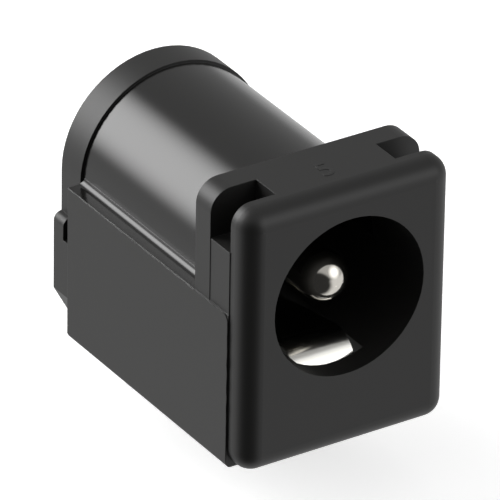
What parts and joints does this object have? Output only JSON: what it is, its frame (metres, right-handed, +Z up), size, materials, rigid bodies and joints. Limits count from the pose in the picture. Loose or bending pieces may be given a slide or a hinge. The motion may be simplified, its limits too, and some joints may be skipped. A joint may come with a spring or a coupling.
{
  "type": "dc barrel jack",
  "caption": "Right-angle through-hole DC barrel jack with a centre pin, a leaf spring and a break switch contact.",
  "frame": {"origin": "on the underside that lies on the board, on the centre line, at the middle of the sleeve spring's solder tail", "axes": "+Z up from the board, -Y out of the front face towards the plug, +X to the right seen from the front"},
  "size_m": [0.0095, 0.0143, 0.0142],
  "materials": {
    "black_plastic": "fine matte texture, barrel and ledges polished",
    "pin_plating": "bright nickel plating",
    "contact_plating": "bright tin plating"
  },
  "bodies": {
    "root": {"housing": "black_plastic", "centre_pin": "pin_plating", "pin_terminal": "contact_plating", "sleeve_spring": "contact_plating", "switch_contact": "contact_plating"}
  },
  "joints": []
}
